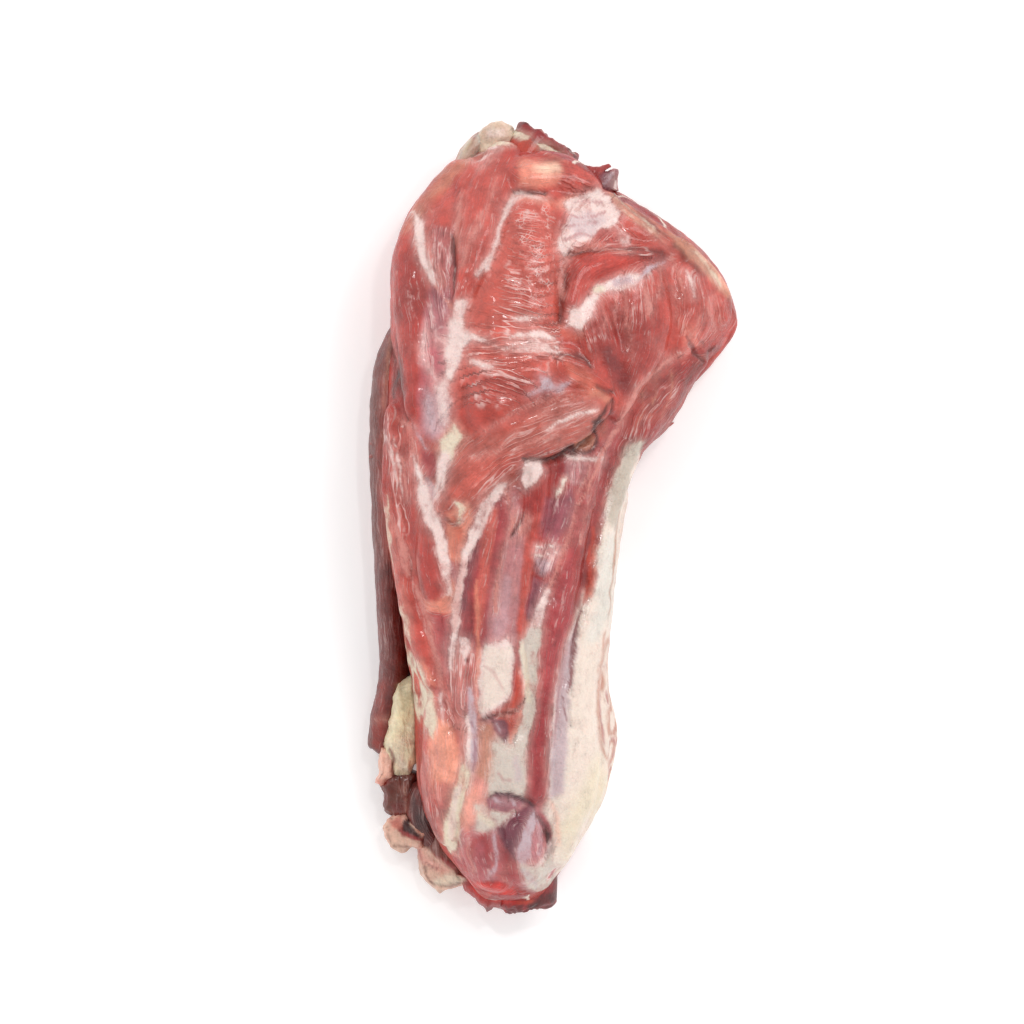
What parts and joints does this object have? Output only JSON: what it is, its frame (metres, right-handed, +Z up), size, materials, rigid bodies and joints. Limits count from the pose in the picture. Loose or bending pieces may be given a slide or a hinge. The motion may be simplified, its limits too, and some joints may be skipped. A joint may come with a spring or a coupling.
{
  "type": "raw lamb neck",
  "caption": "Whole raw lamb neck on the bone, lying on its side, broad shoulder end with a trimmed lobe and a narrow sawn head end.",
  "frame": {"origin": "on the table under the middle of the cut's box", "axes": "+Z up, +Y along the neck from the narrow head end to the broad shoulder end, +X towards the fat-covered back of the neck"},
  "size_m": [0.1294, 0.275, 0.0739],
  "materials": {
    "flesh": "moist raw lamb: red muscle with pale fat seams and lilac silverskin, glossy",
    "bone": "sawn bone: cream rim round dark red marrow, moist"
  },
  "bodies": {
    "root": {"neck_flesh": "flesh", "neck_bone": "bone"}
  },
  "joints": []
}
